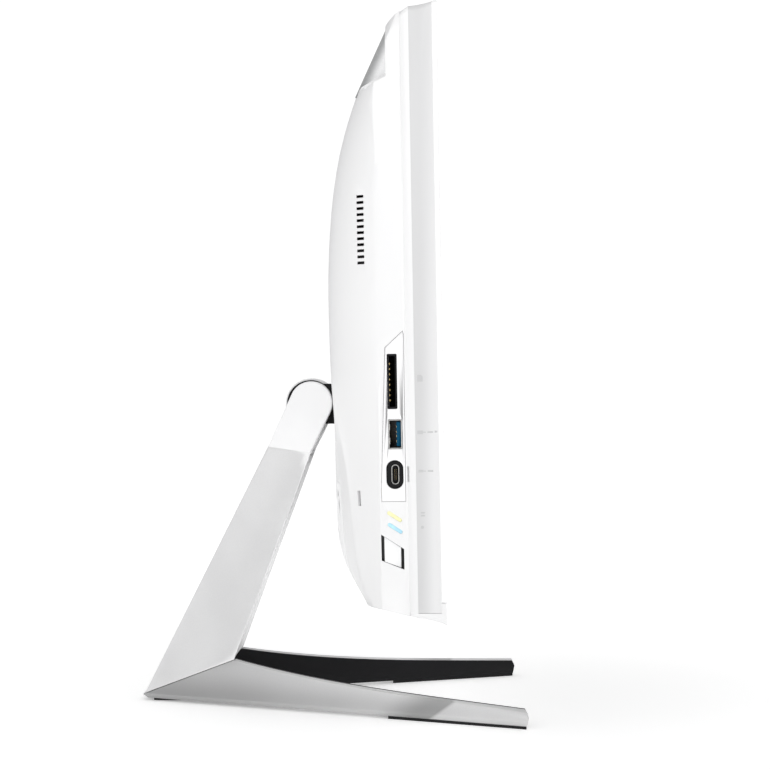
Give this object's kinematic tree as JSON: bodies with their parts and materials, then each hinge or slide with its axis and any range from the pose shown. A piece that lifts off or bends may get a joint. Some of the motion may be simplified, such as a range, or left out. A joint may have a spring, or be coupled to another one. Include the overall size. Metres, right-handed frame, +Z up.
{
  "type": "all-in-one desktop computer",
  "caption": "White all-in-one desktop computer: thin tilting display head with side ports on a splayed silver V-shaped metal stand.",
  "frame": {"origin": "on the desk plane, under the middle of the bounding box", "axes": "+Z up, the screen faces -Y, +X is the right-hand side of a person facing the screen"},
  "size_m": [0.49, 0.2168, 0.3646],
  "materials": {
    "glass_front": "clear cover glass, white print behind the border",
    "white_gloss": "gloss white moulding",
    "white_band": "satin pale grey-white side band",
    "white_satin": "satin white moulding",
    "lcd_black": "dark panel",
    "steel_sheet": "zinc plated sheet",
    "black_plastic": "fine texture",
    "grey_grille": "satin grey",
    "nickel": "nickel plated",
    "blue_plastic": "moulded blue",
    "amber_pipe": "light pipe",
    "blue_pipe": "light pipe",
    "green_board": "solder mask",
    "aluminium": "extruded",
    "copper": "drawn copper",
    "cable_black": "flat ribbon",
    "brass": "turned",
    "black_metal": "black powder coat",
    "steel_shaft": "ground steel",
    "silver_metal": "satin silver",
    "rubber_pad": "soft pad"
  },
  "bodies": {
    "stand": {"neck_shell": "silver_metal", "neck_front_cover": "white_satin", "neck_core": "steel_sheet", "hinge_cap_left": "white_satin", "hinge_cap_right": "white_satin", "hinge_shaft": "steel_shaft", "hinge_washers": "steel_shaft", "leg_left": "silver_metal", "leg_right": "silver_metal", "leg_liner_left": "black_plastic", "leg_liner_right": "black_plastic", "foot_pads": "rubber_pad"},
    "head": {"cover_glass": "glass_front", "chin_strip": "white_gloss", "front_frame": "white_band", "lcd_cell": "lcd_black", "backlight_unit": "aluminium", "webcam_module": "black_plastic", "mid_frame": "white_gloss", "chassis_plate": "steel_sheet", "rear_cover": "white_gloss", "lower_rear_cover": "white_satin", "exhaust_grille": "grey_grille", "side_io_panel": "white_satin", "card_reader": "black_plastic", "usb_a_shell": "nickel", "usb_a_tongue": "blue_plastic", "usb_c_surround": "black_plastic", "usb_c_shell": "nickel", "usb_c_tongue": "black_plastic", "led_pipe_amber": "amber_pipe", "led_pipe_blue": "blue_pipe", "side_io_board": "green_board", "button_switch": "black_plastic", "lock_slot_plate": "steel_sheet", "motherboard": "green_board", "cpu_heatsink": "aluminium", "exhaust_fins": "aluminium", "heat_pipe": "copper", "ram_module": "green_board", "board_sockets": "black_plastic", "wifi_card": "green_board", "storage_drive": "aluminium", "drive_tray": "steel_sheet", "blower_housing": "black_plastic", "dc_jack": "black_plastic", "hdmi_port": "nickel", "lan_port": "nickel", "rear_usb_ports": "nickel", "audio_jack": "black_plastic", "io_shield": "nickel", "display_cable": "cable_black", "speakers": "black_plastic", "screws": "nickel", "standoffs": "brass", "hinge_bracket": "black_metal", "hinge_barrel_cover": "white_satin"},
    "fan": {"fan_rotor": "black_plastic"},
    "button": {"power_button": "white_satin"}
  },
  "joints": [
    {"name": "head_tilt", "type": "hinge", "parent": "stand", "child": "head", "pos_m": [0, 0.0118, 0.1701], "axis": [-1, 0, 0], "range_deg": [-6, 14]},
    {"name": "button_press", "type": "slide", "parent": "head", "child": "button", "axis": [1, 0, 0], "range_m": [0, 0.0006]},
    {"name": "fan_spin", "type": "hinge", "parent": "head", "child": "fan", "pos_m": [0.09, -0.03375, 0.24781], "axis": [0, 0.9998, -0.0175], "continuous": true}
  ]
}
